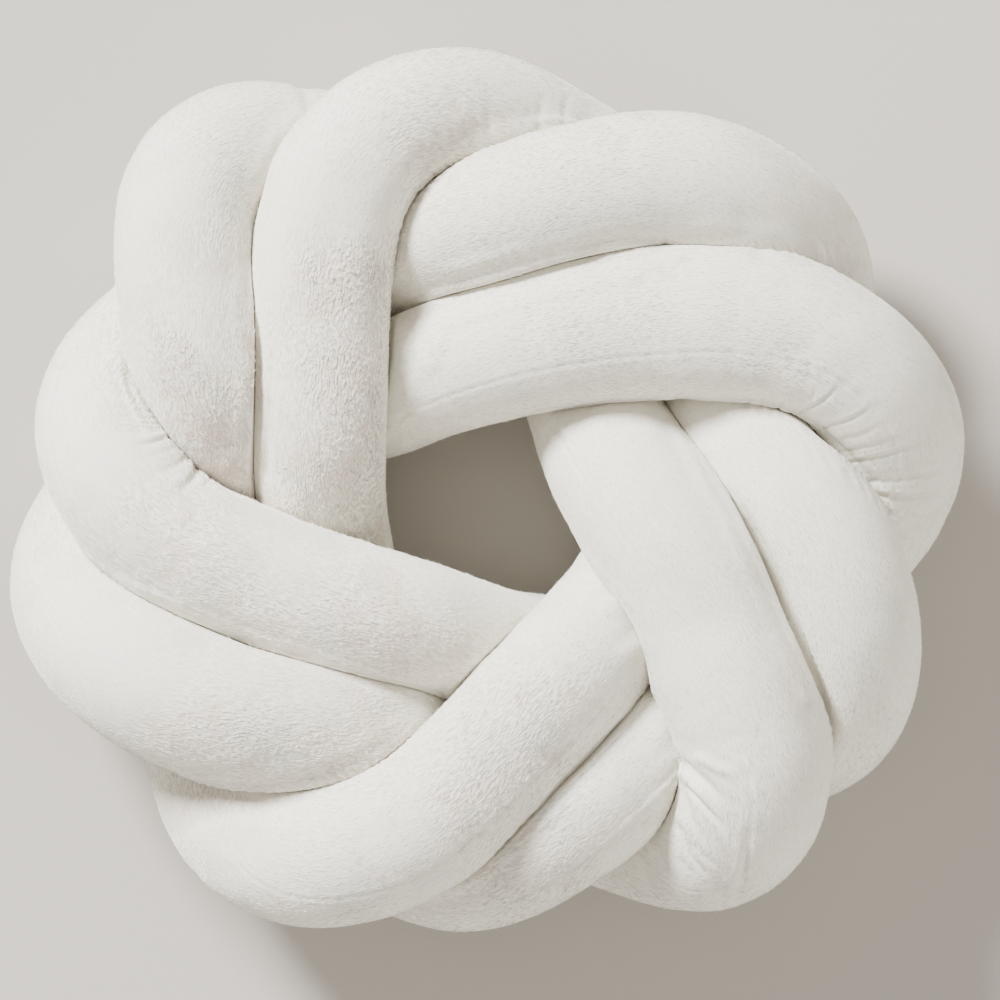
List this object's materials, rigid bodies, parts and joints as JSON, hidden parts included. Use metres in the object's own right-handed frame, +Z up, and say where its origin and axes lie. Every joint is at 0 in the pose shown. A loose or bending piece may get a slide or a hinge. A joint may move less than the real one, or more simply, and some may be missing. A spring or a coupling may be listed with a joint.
{
  "type": "knot cushion",
  "caption": "Round knot cushion: one long stuffed plush tube, joined end to end and plaited flat in doubled passes about an open centre",
  "frame": {"origin": "centre of the bounding box's bottom face, on the plane the cushion rests on", "axes": "+Z up through the face seen in the picture, which is also the shortest extent; +X to the right in the picture, the longest extent; +Y towards the top of the picture"},
  "size_m": [0.4412, 0.409, 0.1392],
  "materials": {
    "white_plush": "short-pile plush, matt, with a soft bright edge"
  },
  "bodies": {
    "root": {"knotted_tube": "white_plush"}
  },
  "joints": []
}
